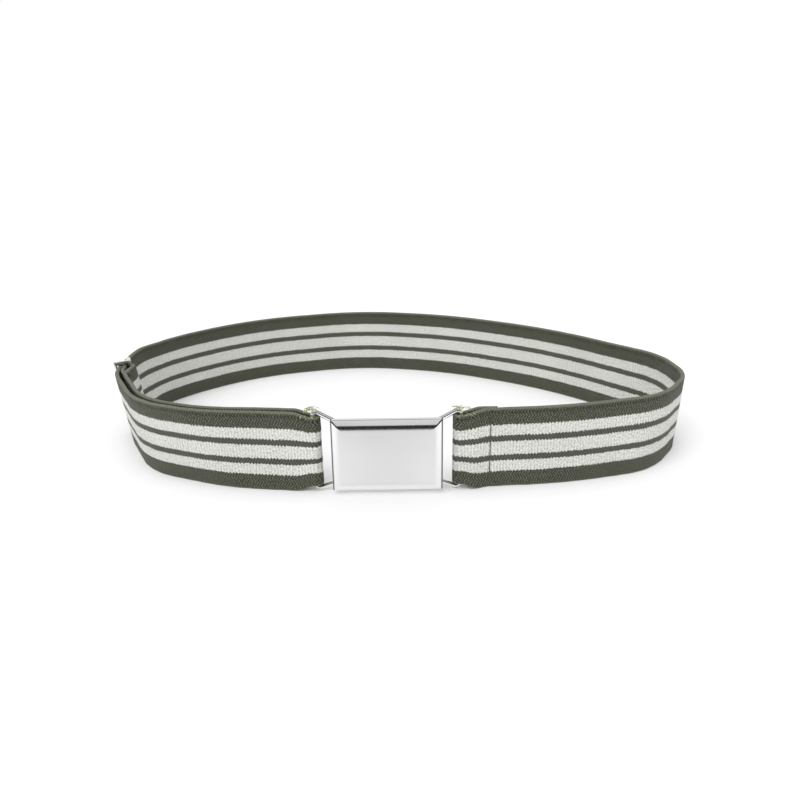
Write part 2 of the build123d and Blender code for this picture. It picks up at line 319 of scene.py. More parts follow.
class Nodes:
    """Short ways to add and join shader nodes."""

    def __init__(self, tree):
        self.tree = tree

    def add(self, kind, **values):
        node = self.tree.nodes.new(kind)
        for key, value in values.items():
            setattr(node, key, value)
        return node

    def put(self, socket, value):
        if isinstance(value, bpy.types.NodeSocket):
            self.tree.links.new(value, socket)
        else:
            socket.default_value = value

    def math(self, operation, a, b=0.0, c=0.0, clamp=False):
        node = self.add("ShaderNodeMath", operation=operation, use_clamp=clamp)
        for socket, value in zip(node.inputs, (a, b, c)):
            self.put(socket, value)
        return node.outputs[0]

    def mix(self, share, a, b):
        node = self.add("ShaderNodeMix", data_type="RGBA")
        self.put(node.inputs["Factor"], share)
        self.put(node.inputs["A"], a)
        self.put(node.inputs["B"], b)
        return node.outputs["Result"]

    def wave(self, value, pitch):
        """0 to 1 sine along a coordinate."""
        turned = self.math("SINE", self.math("MULTIPLY", value, math.tau / pitch))
        return self.math("MULTIPLY_ADD", turned, 0.5, 0.5)

    def between(self, value, low, high, soft):
        """1 where value is between low and high, with soft edges."""
        rise, fall = self.past(value, low, soft), self.past(value, high, soft)
        return self.math("SUBTRACT", rise, fall, clamp=True)

    def past(self, value, edge, soft):
        """1 where value is over edge, with a soft step."""
        step = self.add("ShaderNodeMapRange", interpolation_type="SMOOTHSTEP")
        self.put(step.inputs["Value"], value)
        step.inputs["From Min"].default_value = edge - soft
        step.inputs["From Max"].default_value = edge + soft
        return step.outputs[0]

    def place(self):
        return self.add("ShaderNodeTexCoord").outputs["Object"]

    def split(self, vector):
        node = self.add("ShaderNodeSeparateXYZ")
        self.put(node.inputs[0], vector)
        return node.outputs

    def stretched(self, vector, scale):
        node = self.add("ShaderNodeMapping")
        self.put(node.inputs["Vector"], vector)
        node.inputs["Scale"].default_value = scale
        return node.outputs[0]

    def scaled(self, vector, share):
        node = self.add("ShaderNodeVectorMath", operation="SCALE")
        self.put(node.inputs[0], vector)
        self.put(node.inputs["Scale"], share)
        return node.outputs[0]

    def noise(self, vector, scale, detail=3.0):
        node = self.add("ShaderNodeTexNoise")
        self.put(node.inputs["Vector"], vector)
        node.inputs["Scale"].default_value = scale
        node.inputs["Detail"].default_value = detail
        return node.outputs[0]

    def combine(self, x, y, z=0.0):
        node = self.add("ShaderNodeCombineXYZ")
        for socket, value in zip(node.inputs, (x, y, z)):
            self.put(socket, value)
        return node.outputs[0]

    def bump(self, height, distance, strength=1.0):
        node = self.add("ShaderNodeBump")
        self.put(node.inputs["Height"], height)
        node.inputs["Distance"].default_value = distance
        node.inputs["Strength"].default_value = strength
        return node.outputs[0]


# Webbing colours
OLIVE = (0.031, 0.033, 0.022, 1.0)
OLIVE_LIGHT = (0.205, 0.212, 0.155, 1.0)
OLIVE_DARK = (0.014, 0.015, 0.010, 1.0)
CREAM = (0.70, 0.71, 0.665, 1.0)
CREAM_SHADE = (0.36, 0.37, 0.335, 1.0)
DARK_LINE = (0.040, 0.040, 0.034, 1.0)

# Heights of the cream bands' edges on the webbing, from the lower edge
CREAM_BANDS = ((5.1, 8.5), (10.4, 14.6), (16.5, 19.9))
BORDERS = ((-2.0, CREAM_BANDS[0][0]), (CREAM_BANDS[-1][1], WIDTH + 2.0))
BAND_SOFT = 0.10

# The knit: teeth on the bands' edges, ribs, picks, twill, and a row of gaps
TOOTH_PITCH = 1.0
TOOTH_DEPTH = 0.34
RIB_PITCH = 0.92
PICK_PITCH = 0.62
PICK_SLANT = 0.25
TWILL_PITCH = 0.84
TWILL_ROW = 1.25
TICK_ROW = (23.2, 24.1)
TICK_SOFT = 0.15
SELVEDGE = 0.45
SELVEDGE_SOFT = 0.12
WEAVE_RELIEF = 0.00012  # metres


# Scales of the fine marks are per metre, and reliefs are metres
THREAD_TWIST = 900.0
THREAD_FUZZ = 1500.0
THREAD_RELIEF = 0.00004
SEAM_TONES = (0.03, 0.03, 0.026, 1), (0.09, 0.09, 0.075, 1)
TUFT_TONES = (0.20, 0.21, 0.09, 1), (0.55, 0.56, 0.30, 1)
SCRATCHES = (900.0, 900.0, 900.0)
PLATE_BRUSH = (60.0, 600.0, 600.0)
METAL_CLOUD = 120.0
METAL_RELIEF = 0.000004
MAGNET_GRAIN = 2500.0
MAGNET_RELIEF = 0.00003
FERRITE_DARK = (0.02, 0.02, 0.022, 1)
FERRITE = (0.06, 0.06, 0.06, 1)

# The cover's finishes, with painted reflection dimming the face and painted shade on the side
# walls, and where its face ends and its side walls begin
COVER_SATIN_PAINTED_DIM = (0.685, 0.685, 0.68)
COVER_POLISH = (0.88, 0.88, 0.88, 1.0)
COVER_WALL_PAINTED_SHADE = (0.16, 0.16, 0.16, 1.0)
COVER_BRUSH = (1500.0, 1500.0, 60.0)
COVER_CLOUD = 90.0
COVER_RELIEF = 0.000003
COVER_PAINTED_FADE_UP = -0.0105
COVER_PAINTED_LIFT_ASIDE = 0.00025
FACE_HALF = (14.1, 9.0)
FACE_SOFT = (0.8, 0.5)
WALL_FROM = 15.55


class Weave:
    """The patterns in the webbing, as node outputs over its own coordinates."""

    def __init__(self, n):
        self.n = n
        read = n.add("ShaderNodeAttribute", attribute_name="web")
        self.along, self.across, _ = n.split(read.outputs["Vector"])
        self.where = n.combine(self.along, self.across)
        self.jitter = n.noise(self.where, 1.7, 2.0)
        self.fibre = n.noise(self.drawn_out(1.6), 3.4, 4.0)
        self.speckle = n.noise(self.drawn_out(1.3), 1.6, 2.0)
        slant = n.math("ADD", self.across, n.math("MULTIPLY", self.along, PICK_SLANT))
        self.picks = n.wave(slant, PICK_PITCH)
        ribs = n.wave(self.along, RIB_PITCH)
        self.grain = n.math("MULTIPLY", ribs, n.math("MULTIPLY_ADD", self.picks, 0.5, 0.5))
        zig = n.math("PINGPONG", self.across, TWILL_ROW)
        zig = n.math("MULTIPLY_ADD", zig, TWILL_PITCH / TWILL_ROW, self.along)
        self.twill = n.wave(n.math("MULTIPLY_ADD", self.fibre, 0.6, zig), TWILL_PITCH)
        self.ticks = self.tick_row()

    def drawn_out(self, share):
        """The coordinates, with marks shortened along the webbing by a share."""
        return self.n.combine(self.n.math("MULTIPLY", self.along, share), self.across)

    def tick_row(self):
        """The row of small dark gaps below the upper edge."""
        n = self.n
        row = n.between(self.across, *TICK_ROW, TICK_SOFT)
        shaken = n.math("MULTIPLY_ADD", self.jitter, 0.6, self.along)
        tick = n.math("POWER", n.wave(shaken, TOOTH_PITCH), 2.0)
        return n.math("MULTIPLY", n.math("MULTIPLY", tick, row), 0.85)

    def bands(self):
        """Where the webbing is cream and where it is olive, with toothed edges."""
        n = self.n
        tooth = n.math("PINGPONG", self.along, TOOTH_PITCH / 2)
        tooth = n.math("MULTIPLY_ADD", tooth, TOOTH_DEPTH / TOOTH_PITCH * 2, -TOOTH_DEPTH / 2)
        wander = n.noise(self.where, 0.35, 2.0)
        shaken = n.math("MULTIPLY_ADD", self.jitter, 0.9, -0.65)
        shaken = n.math("MULTIPLY_ADD", wander, 0.4, shaken)
        edge = n.math("ADD", n.math("ADD", self.across, tooth), shaken)
        return [self.any_band(edge, bands) for bands in (CREAM_BANDS, BORDERS)]

    def any_band(self, edge, bands):
        found = 0.0
        for low, high in bands:
            found = self.n.math("MAXIMUM", found, self.n.between(edge, low, high, BAND_SOFT))
        return found

    def olive(self):
        """Dark knit with light flecks, and a lighter selvedge."""
        n = self.n
        fleck = n.math("MULTIPLY", self.twill, n.math("MULTIPLY_ADD", self.picks, 0.5, 0.35))
        fleck = n.math("MULTIPLY", fleck, n.math("MULTIPLY_ADD", self.speckle, 4.0, -1.0))
        colour = n.mix(n.math("MAXIMUM", fleck, 0.0, clamp=True), OLIVE, OLIVE_LIGHT)
        gaps = n.math("MULTIPLY_ADD", self.fibre, 1.3, -0.45, clamp=True)
        colour = n.mix(gaps, colour, OLIVE_DARK)
        colour = n.mix(self.ticks, colour, OLIVE_DARK)
        from_middle = n.math("ABSOLUTE", n.math("SUBTRACT", self.across, WIDTH / 2))
        selvedge = n.between(from_middle, WIDTH / 2 - SELVEDGE, WIDTH, SELVEDGE_SOFT)
        return n.mix(n.math("MULTIPLY", selvedge, 0.55), colour, OLIVE_LIGHT)

    def pale(self):
        """Cream with shadow between the ribs."""
        n = self.n
        shadow = n.math("MULTIPLY_ADD", self.grain, 0.5, -1.80)
        shadow = n.math("MULTIPLY_ADD", self.speckle, 2.8, shadow)
        shadow = n.math("MULTIPLY_ADD", self.fibre, 1.1, shadow, clamp=True)
        return n.mix(shadow, CREAM, CREAM_SHADE)

    def relief(self, border):
        """Height of the weave: twill on the olive, ribs sunk, gaps deep."""
        n = self.n
        ribs = n.math("MULTIPLY", self.grain, -0.55)
        height = n.math("MULTIPLY_ADD", n.math("MULTIPLY", self.twill, border), 0.9, ribs)
        height = n.math("ADD", height, n.math("MULTIPLY", self.fibre, 0.6))
        return n.math("SUBTRACT", height, n.math("MULTIPLY", self.ticks, 0.8))


def webbing_material():
    """Woven elastic: olive borders, two dark lines and cream between them."""
    material, tree, shader = node_material("webbing")
    n = Nodes(tree)
    weave = Weave(n)
    cream, border = weave.bands()
    line = n.mix(n.math("MULTIPLY", weave.twill, 0.4), DARK_LINE, OLIVE_LIGHT)
    colour = n.mix(cream, line, weave.pale())
    colour = n.mix(border, colour, weave.olive())
    shade = n.math("MULTIPLY_ADD", n.noise(weave.where, 0.05, 2.0), 0.24, 0.88)
    n.put(shader.inputs["Base Color"], n.scaled(colour, shade))
    n.put(shader.inputs["Normal"], n.bump(weave.relief(border), WEAVE_RELIEF, 0.8))
    n.put(shader.inputs["Roughness"], n.math("MULTIPLY_ADD", weave.fibre, 0.15, 0.78))
    shader.inputs["Sheen Weight"].default_value = 0.08
    shader.inputs["Sheen Roughness"].default_value = 0.5
    shader.inputs["Specular IOR Level"].default_value = 0.3
    return material


def thread_material(name, dark, light):
    """Twisted thread, two tones along a fine diagonal."""
    material, tree, shader = node_material(name)
    n = Nodes(tree)
    place = n.place()
    wave = n.add("ShaderNodeTexWave", bands_direction="DIAGONAL")
    n.put(wave.inputs["Vector"], place)
    wave.inputs["Scale"].default_value = THREAD_TWIST
    wave.inputs["Distortion"].default_value = 1.5
    twist = wave.outputs["Fac"]
    n.put(shader.inputs["Base Color"], n.mix(twist, dark, light))
    n.put(shader.inputs["Normal"], n.bump(twist, THREAD_RELIEF, 0.8))
    fuzz = n.noise(place, THREAD_FUZZ, 2.0)
    n.put(shader.inputs["Roughness"], n.math("MULTIPLY_ADD", fuzz, 0.2, 0.6))
    shader.inputs["Sheen Weight"].default_value = 0.3
    return material


def metal_material(name, colour, rough, brush=SCRATCHES, wear=0.06):
    """Plated metal: faint cloudiness, optional brushing along one axis, tiny scratches."""
    material, tree, shader = node_material(name)
    n = Nodes(tree)
    place = n.place()
    cloud = n.noise(place, METAL_CLOUD, 3.0)
    darker = tuple(c * (1 - wear) for c in colour) + (1.0,)
    n.put(shader.inputs["Base Color"], n.mix(cloud, darker, (*colour, 1.0)))
    lines = n.noise(n.stretched(place, brush), 1.0, 4.0)
    level = n.math("MULTIPLY_ADD", lines, 0.10, rough - 0.05)
    n.put(shader.inputs["Roughness"], n.math("MULTIPLY_ADD", cloud, 0.06, level))
    n.put(shader.inputs["Normal"], n.bump(lines, METAL_RELIEF, 0.5))
    shader.inputs["Metallic"].default_value = 1.0
    return material


def brushing_and_painted_reflection(n, across, up, brush, cloud):
    """The satin face: painted reflection makes it lighter low down and at its sides, with
    faint brushing and clouds.
    """
    # Painted reflection: the fade up and the lift towards the sides; the brushing and clouds
    # are the metal's own.
    tone = n.math("MULTIPLY_ADD", up, COVER_PAINTED_FADE_UP, 1.0)
    tone = n.math("MULTIPLY_ADD", n.math("MULTIPLY", across, across), COVER_PAINTED_LIFT_ASIDE, tone)
    tone = n.math("ADD", n.math("MULTIPLY_ADD", brush, 0.06, -0.03), tone)
    return n.math("ADD", n.math("MULTIPLY_ADD", cloud, 0.08, -0.04), tone)


def cover_material():
    """Satin brushed face inside polished bevels; the face's dimmer colour and its fade are
    painted reflection, and the side walls' dark colour is painted shade.
    """
    material, tree, shader = node_material("cover")
    n = Nodes(tree)
    place = n.place()
    x, _, z = n.split(place)
    across = n.math("MULTIPLY_ADD", x, 1 / MM, -CLASP_MID[0])
    up = n.math("MULTIPLY_ADD", z, 1 / MM, -CLASP_MID[1])
    face = n.between(across, -FACE_HALF[0], FACE_HALF[0], FACE_SOFT[0])
    face = n.math("MULTIPLY", face, n.between(up, -FACE_HALF[1], FACE_HALF[1], FACE_SOFT[1]))
    # Painted shade: the side walls get a dark colour that stands for the shaded gap beside
    # the ring and its dark reflections.
    wall = n.past(n.math("ABSOLUTE", across), WALL_FROM, 0.12)
    brush = n.noise(n.stretched(place, COVER_BRUSH), 1.0, 3.0)
    cloud = n.noise(place, COVER_CLOUD, 2.0)
    # Painted reflection: the face's colour is set darker than the polished bevels and faded,
    # standing for dimmer reflections.
    satin = n.scaled(COVER_SATIN_PAINTED_DIM, brushing_and_painted_reflection(n, across, up, brush, cloud))
    colour = n.mix(face, COVER_POLISH, satin)
    n.put(shader.inputs["Base Color"], n.mix(wall, colour, COVER_WALL_PAINTED_SHADE))
    rough = n.math("MULTIPLY_ADD", face, 0.12, 0.10)
    n.put(shader.inputs["Roughness"], n.math("MULTIPLY_ADD", brush, 0.05, rough))
    n.put(shader.inputs["Normal"], n.bump(brush, COVER_RELIEF, 0.4))
    shader.inputs["Metallic"].default_value = 1.0
    return material


def magnet_material():
    """Dull dark ferrite with a fine grain."""
    material, tree, shader = node_material("magnet")
    n = Nodes(tree)
    grain = n.noise(n.place(), MAGNET_GRAIN, 3.0)
    n.put(shader.inputs["Base Color"], n.mix(grain, FERRITE_DARK, FERRITE))
    n.put(shader.inputs["Normal"], n.bump(grain, MAGNET_RELIEF, 0.5))
    shader.inputs["Roughness"].default_value = 0.6
    return material


MATERIALS = {
    "webbing": webbing_material(),
    "seam_thread": thread_material("seam_thread", *SEAM_TONES),
    "tuft_thread": thread_material("tuft_thread", *TUFT_TONES),
    "cover": cover_material(),
    "ring": metal_material("ring", (0.86, 0.86, 0.86), 0.06),
    "slider": metal_material("slider", (0.93, 0.93, 0.88), 0.32),
    "plate": metal_material("plate", (0.62, 0.62, 0.61), 0.32, PLATE_BRUSH, 0.12),
    "magnet": magnet_material(),
}


# ------------------------------------------------------------- webbing pieces

SEAM_DENT = 0.25  # how deep the right seam pulls the webbing in
SEAM_DENT_HALF = 0.45

# Half the length of webbing that would bend where the straps crease at their pivots; it is
# read into a value that nothing uses, so no crease is shaped
LEFT_CREASE = (5.0, -2.2, 0.0)

# Angles about the left bend's centre where the tab's two legs leave the webbing
TAB_OUTER_LEG = (203, 190)
TAB_INNER_LEG = (188, 196)
TAB_WRAP_STEPS = 18


def squeeze(apart):
    """How much a fold is narrowed inside its ring, from the distance to its bar."""
    return smooth(*FOLD_PINCH, apart)


def shaped(point, heading, station, fold=0.0, dent=0.0):
    """A station with the lean, lift and width of that place on the belt."""
    near = near_slider(station)
    height = WIDTH + (SLIDER_WEB - WIDTH) * near
    middle = WIDTH / 2 + (SLIDER_MID_Z - WIDTH / 2) * near
    height += (FOLD_HEIGHT - WIDTH) * fold
    middle += (CLASP_MID[1] - WIDTH / 2) * fold
    lean = lean_at(station) * (1 - fold)
    return Station(point, heading, lean, middle - height / 2, height, dent)


def main_band():
    """From the flap inside the right fold, round the bar and the back, to the slider."""
    wrap = RIGHT_BAR_X - FOLD_R - FOLD_SLACK
    corners = [
        FLAP_END, (wrap, BAR_Y + FOLD_R), (wrap, BAR_Y - FOLD_R), *FRONT_RUN,
        *LOOP_CORNERS[1:LEFT_BEND + 3],
    ]
    radii = [FOLD_R, FOLD_R, *FRONT_RUN_R, *LOOP_RADII[:LEFT_BEND + 1]]
    path = Path(corners, radii)
    bend_start = path.starts[2 * (LEFT_BEND + 5) + 1]
    offset = bend_start - BEND_START
    apex = path.starts[3]
    stop = offset + bend_station(CUT_ANGLE)
    stations = []
    distance = 0.0
    while True:
        point, heading = path.at(distance)
        fold = squeeze(abs(distance - apex))
        past_apex = distance > apex
        on_front = past_apex and distance < FRONT_LIMIT
        from_seam = (point.real - SEAM_X) / SEAM_DENT_HALF
        dent = SEAM_DENT * math.exp(-from_seam ** 2) if on_front else 0.0
        stations.append(shaped(point, heading, distance - offset, fold, dent))
        if distance >= stop:
            break
        distance = min(stop, distance + path.step_at(distance))
    piece = webbing("webbing_band", stations)
    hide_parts("webbing_right_fold", "webbing_right_front", "webbing_right_bend",
                "webbing_back_right", "webbing_back_left", "webbing_left_bend")
    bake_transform(piece)
    return stop


def left_doubled(along_start):
    """From the slider round the left front, the left bar, and back inside itself."""
    heading = LOOP.at(LOOP.length)[1]
    out = -1j * heading
    bar = complex(LEFT_BAR_X, BAR_Y)
    front = bar + FOLD_R * (out + heading) + FOLD_SLACK * heading
    back = bar + FOLD_R * (heading - out) + FOLD_SLACK * heading
    outer = [complex(*c) for c in LOOP_CORNERS[LEFT_BEND:LEFT_BEND + 4]] + [front]
    inner = [
        inset_corner(outer[k - 1], outer[k], outer[k + 1], LAYER_STEP) for k in (3, 2, 1)
    ]
    corners = outer + [back] + inner
    bends = [BEND_RADIUS, *LOOP_RADII[LEFT_BEND + 1:]]
    radii = bends + [FOLD_R, FOLD_R] + [r - LAYER_STEP for r in (bends[2], bends[1])]
    path = Path(corners, radii)
    offset = path.starts[1] - BEND_START
    start = offset + bend_station(CUT_ANGLE)
    apex = path.starts[8]
    turn = (outer[2] - outer[1]) / abs(outer[2] - outer[1])
    before = (outer[1] - outer[0]) / abs(outer[1] - outer[0])
    reach = (BEND_RADIUS - LAYER_STEP) * abs(math.tan(cmath.phase(turn / before) / 2))
    stop = path.length - reach
    stations = []
    distance = start
    while True:
        point, way = path.at(distance)
        fold = squeeze(abs(distance - apex))
        station = distance - offset
        if distance > apex:
            station = 2 * (apex - offset) - station
        made = shaped(point, way, station, fold)
        if distance > apex:
            made.lean = -made.lean
        stations.append(made)
        if distance >= stop:
            break
        distance = min(stop, distance + path.step_at(distance))
    piece = webbing("webbing_doubled", stations, along_start)
    reach = Vector(LEFT_CREASE) * MM
    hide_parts("webbing_outer_bend", "webbing_inner_bend", "webbing_outer_front",
                "webbing_inner_front", "webbing_left_fold")
    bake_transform(piece)
    return along_start + stop - start


def tab_points():
    """The sewn end in plan: in from the bend's end, round the centre bar and back."""
    inner = BEND_RADIUS - LAYER_STEP
    bar_radius = BEND_RADIUS - CENTRE_BAR_IN
    outer_leg, inner_leg = bar_radius + TAB_WRAP_R, bar_radius - TAB_WRAP_R
    points = []
    angle = BEND_TO
    while angle > SLIDER_ANGLE:
        radius = inner + (outer_leg - inner) * smooth(*TAB_OUTER_LEG, angle)
        points.append((on_bend(angle, radius), angle))
        angle -= 1.0
    bar = on_bend(SLIDER_ANGLE, bar_radius)
    for k in range(1, TAB_WRAP_STEPS):
        turned = math.radians(SLIDER_ANGLE - 180 * k / TAB_WRAP_STEPS)
        points.append((bar + cmath.rect(TAB_WRAP_R, turned), SLIDER_ANGLE))
    angle = SLIDER_ANGLE
    while angle <= TAB_END_ANGLE:
        radius = inner_leg + (inner - THICK / 2 - inner_leg) * smooth(*TAB_INNER_LEG, angle)
        points.append((on_bend(angle, radius), angle))
        angle += 1.0
    return points


def slider_tab(along_start):
    """The webbing's sewn end on the slider, and the short run that leads to it."""
    points = tab_points()
    stations = []
    for k, (point, angle) in enumerate(points):
        before = points[max(0, k - 1)][0]
        after = points[min(len(points) - 1, k + 1)][0]
        heading = (after - before) / abs(after - before)
        made = shaped(point, heading, bend_station(angle))
        made.lean *= -1 if k < len(points) / 2 else 1
        stations.append(made)
    piece = webbing("webbing_tab", stations, along_start)
    first = on_bend(BEND_TO - 0.4, BEND_RADIUS)
    last = on_bend(TAB_END_ANGLE + 0.5, BEND_RADIUS)
    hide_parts("webbing_end_tab")
    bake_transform(piece)


# --------------------------------------------------------- threads and tufts

SEAM_THREAD = 0.17
TUFT_THREAD = 0.08
SEAM_LOW, SEAM_HIGH = 0.7, 24.4
SEAM_PITCH, SEAM_STITCH = 2.3, 3.0
TAB_STITCHES = 7
TAB_STITCH = 2.3
TAB_STITCH_PITCH = 3.0
TUFT_TOP_THREADS = 14
TUFT_FRONT_THREADS = 9


def tube_curve(name, lines, radius, material):
    """A curve object of several smooth threads."""
    data = bpy.data.curves.new(name, "CURVE")
    data.dimensions = "3D"
    data.bevel_depth = radius * MM
    data.bevel_resolution = 3
    data.use_fill_caps = True
    for line in lines:
        spline = data.splines.new("NURBS")
        spline.points.add(len(line) - 1)
        for point, place in zip(spline.points, line):
            point.co = (*(c * MM for c in place), 1.0)
        spline.order_u = 3
        spline.use_endpoint_u = True
    data.materials.append(material)
    piece = bpy.data.objects.new(name, data)
    bpy.context.scene.collection.objects.link(piece)
    return piece


def stitch_line(x, y, outward):
    """Stitches up the right seam, each dipping into the webbing at both ends."""
    lines = []
    z = SEAM_LOW
    while z + SEAM_STITCH <= SEAM_HIGH:
        lines.append([
            (x - 0.06, y - outward * 0.35, z), (x - 0.06, y + outward * 0.12, z + 0.3),
            (x + 0.06, y + outward * 0.14, z + SEAM_STITCH - 0.3),
            (x + 0.06, y - outward * 0.35, z + SEAM_STITCH),
        ])
        z += SEAM_PITCH
    return lines


def right_seam():
    """The seam across the right fold, and the loose thread end at its top."""
    front = SEAM_FRONT_Y - THICK / 2 - 0.1
    back = FLAP_END[1] + THICK / 2
    lines = stitch_line(SEAM_X, front + 0.33, -1)
    lines += stitch_line(SEAM_X, back - 0.05, 1)
    lines.append([
        (SEAM_X - 0.3, front + 0.1, 22.6), (SEAM_X + 0.2, front - 0.25, 22.0),
        (SEAM_X + 1.0, front - 0.1, 21.0), (SEAM_X + 1.5, front + 0.25, 20.2),
    ])
    thread = MATERIALS["seam_thread"]
    piece = tube_curve("right_seam_thread", lines, SEAM_THREAD, thread)
    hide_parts("right_seam_stitching")
    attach(piece, "right_strap")


def tab_seam():
    """The seam across the slider's tab, on its waist side, leaning with the tab."""
    radius = BEND_RADIUS - LAYER_STEP - THICK
    lean = lean_at(bend_station(TAB_SEAM_ANGLE))
    lines = []
    for step in range(TAB_STITCHES):
        low = (step + 1) * TAB_STITCH_PITCH
        row = []
        dips = ((0, -0.3), (0.3, 0.15), (TAB_STITCH - 0.3, 0.15), (TAB_STITCH, -0.3))
        for rise, inwards in dips:
            aside = lean * (low + rise - WIDTH / 2) / (WIDTH / 2)
            place = on_bend(TAB_SEAM_ANGLE, radius - inwards + aside)
            row.append((place.real, place.imag, low + rise))
        lines.append(row)
    thread = MATERIALS["seam_thread"]
    piece = tube_curve("tab_seam_thread", lines, SEAM_THREAD, thread)
    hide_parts("slider_tab_stitching")
    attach(piece, "slider")


def tuft(name, x, side, body, seed):
    """Frayed selvedge threads bunched over a ring's upper corner."""
    draw = random.Random(seed)
    lines = []
    for _ in range(TUFT_TOP_THREADS):
        start = x + side * draw.uniform(-1.4, 2.4)
        depth = BAR_Y + draw.uniform(-1.8, 0.9)
        top = RING_TOP + draw.uniform(0.05, 0.2)
        length = draw.uniform(0.8, 2.2)
        rise = draw.uniform(0.1, 0.6)
        sway = draw.uniform(-0.5, 0.5)
        lines.append([
            (start, depth, top - 0.5),
            (start + side * 0.1 * length, depth + sway * 0.4, top + rise * 0.7),
            (start - side * 0.5 * length, depth + sway, top + rise),
            (start - side * 0.9 * length, depth + sway * 1.4, top + rise * 0.3),
        ])
    for _ in range(TUFT_FRONT_THREADS):
        start = x + side * draw.uniform(-1.0, 3.2)
        front = BAR_Y - FOLD_R - THICK / 2 - 0.06
        high = draw.uniform(23.6, 24.9)
        sway = draw.uniform(-0.8, 0.8)
        drop = draw.uniform(0.3, 1.0)
        lines.append([
            (start, front + 0.25, high),
            (start + sway * 0.3, front - 0.05, high - drop * 0.2),
            (start + sway * 0.8, front - 0.08, high - drop * 0.7),
            (start + sway, front + 0.25, high - drop),
        ])
    piece = tube_curve(name, lines, TUFT_THREAD, MATERIALS["tuft_thread"])
    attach(piece, body)


# ----------------------------------------------------------------- the slider

SLIDER_WELD = 0.005
SLIDER_SOFT_EDGE = 0.22


def slider():
    """The slider's frame, leaning outwards at the top with the webbing it holds."""
    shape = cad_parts["slider_frame"].data.copy()
    shape.name = "slider_body"
    shape.materials.clear()
    out = cmath.rect(1.0, math.radians(SLIDER_ANGLE))
    middle = SLIDER_MID_Z * MM
    for vertex in shape.vertices:
        aside = LEFT_LEAN * (vertex.co.z - middle) / (WIDTH / 2)
        vertex.co.x += out.real * aside
        vertex.co.y += out.imag * aside
    piece = finished("slider_body", shape, MATERIALS["slider"])
    weld = piece.modifiers.new("weld", "WELD")
    weld.merge_threshold = SLIDER_WELD * MM
    soften = piece.modifiers.new("soften", "BEVEL")
    soften.width = SLIDER_SOFT_EDGE * MM
    soften.segments = 3
    soften.limit_method = "ANGLE"
    soften.angle_limit = math.radians(40)
    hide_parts("slider_frame")
    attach(piece, "slider")


# ----------------------------------------------------------------- the cover

COVER_HALF = (16.0, 11.1)
COVER_BACK_Y = -56.3
COVER_BEVEL_Y = -57.5
COVER_FRONT_Y = -59.0
COVER_BEVEL = 2.3
COVER_WALL = 0.8
COVER_CROWN = 0.10
RIM_R = 0.45
EDGE_R = 3.6
INNER_R = [0.2, 0.4]
CORNER_R = 0.45
FACE_LIP = 2.4  # how far the profile runs on past the bevel, onto the face
INNER_STEPS = 24
OUTER_STEPS = 40
AT_FRONT = 0.02  # how near to the face's plane a point counts as on it
FACE_RINGS = (0.85, 0.7, 0.55, 0.4, 0.25, 0.12)


def rounded_loop(half_x, half_z, radius, steps=4):
    """Points round a rectangle with small rounded corners, in X and Z."""
    points = []
    for quarter, (sx, sz) in enumerate(((1, 1), (-1, 1), (-1, -1), (1, -1))):
        centre = (sx * (half_x - radius), sz * (half_z - radius))
        for k in range(steps + 1):
            angle = math.pi / 2 * (quarter + k / steps)
            points.append((centre[0] + radius * math.cos(angle),
                           centre[1] + radius * math.sin(angle)))
    return points


def cover_profile(path, count):
    """Points along a profile, as (inset from the cover's outline, Y)."""
    points = [path.at(path.length * k / count)[0] for k in range(count + 1)]
    return [(p.real, p.imag) for p in points]


def cover():
    """Pressed cover: rim, rounded bevels, slightly crowned face, and its hollow back."""
    wall, lip = COVER_WALL, COVER_BEVEL + FACE_LIP
    outer = Path([(0.0, COVER_BACK_Y), (0.0, COVER_BEVEL_Y), (COVER_BEVEL, COVER_FRONT_Y),
                  (lip, COVER_FRONT_Y)], [RIM_R, EDGE_R])
    inner = Path([(wall, COVER_BACK_Y), (wall, COVER_BEVEL_Y),
                  (COVER_BEVEL + wall, COVER_FRONT_Y + wall),
                  (lip, COVER_FRONT_Y + wall)], INNER_R)
    rings = list(reversed(cover_profile(inner, INNER_STEPS)))
    rings += cover_profile(outer, OUTER_STEPS)
    work = bmesh.new()
    loops = []
    for inset, y in rings:
        half_x, half_z = COVER_HALF[0] - inset, COVER_HALF[1] - inset
        loop = []
        for x, z in rounded_loop(half_x, half_z, CORNER_R):
            place = (CLASP_MID[0] + x, crowned(x, y, z), CLASP_MID[1] + z)
            loop.append(work.verts.new([c * MM for c in place]))
        loops.append(loop)
    for first, second in zip(loops, loops[1:]):
        for k in range(len(first)):
            after = (k + 1) % len(first)
            work.faces.new((first[k], first[after], second[after], second[k]))
    fill_face(work, loops[0])
    fill_face(work, loops[-1])
    mesh = bpy.data.meshes.new("cover_face")
    work.to_mesh(mesh)
    work.free()
    piece = finished("cover_face", mesh, MATERIALS["cover"])
    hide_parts("cover_shell")
    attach(piece, "cover_half")


def crowned(x, y, z):
    """The face bulges forward a little towards its middle."""
    if y > COVER_FRONT_Y + AT_FRONT:
        return y
    half_x, half_z = (h - COVER_BEVEL for h in COVER_HALF)
    bulge = max(0.0, 1 - (x / half_x) ** 2) * max(0.0, 1 - (z / half_z) ** 2)
    return y - COVER_CROWN * bulge


def fill_face(work, loop):
    """Closes a loop with rings of faces that shrink to its middle."""
    places = [v.co.copy() for v in loop]
    middle = sum(places, Vector()) / len(places)
    base_y = places[0].y
    front = base_y < (COVER_FRONT_Y + AT_FRONT) * MM
    last = loop
    for share in FACE_RINGS:
        ring = []
        for place in places:
            co = middle + (place - middle) * share
            x, z = co.x / MM - CLASP_MID[0], co.z / MM - CLASP_MID[1]
            co.y = (crowned(x, COVER_FRONT_Y, z) * MM) if front else base_y
            ring.append(work.verts.new(co))
        for k in range(len(ring)):
            after = (k + 1) % len(ring)
            work.faces.new((last[k], last[after], ring[after], ring[k]))
        last = ring
    work.faces.new(last)


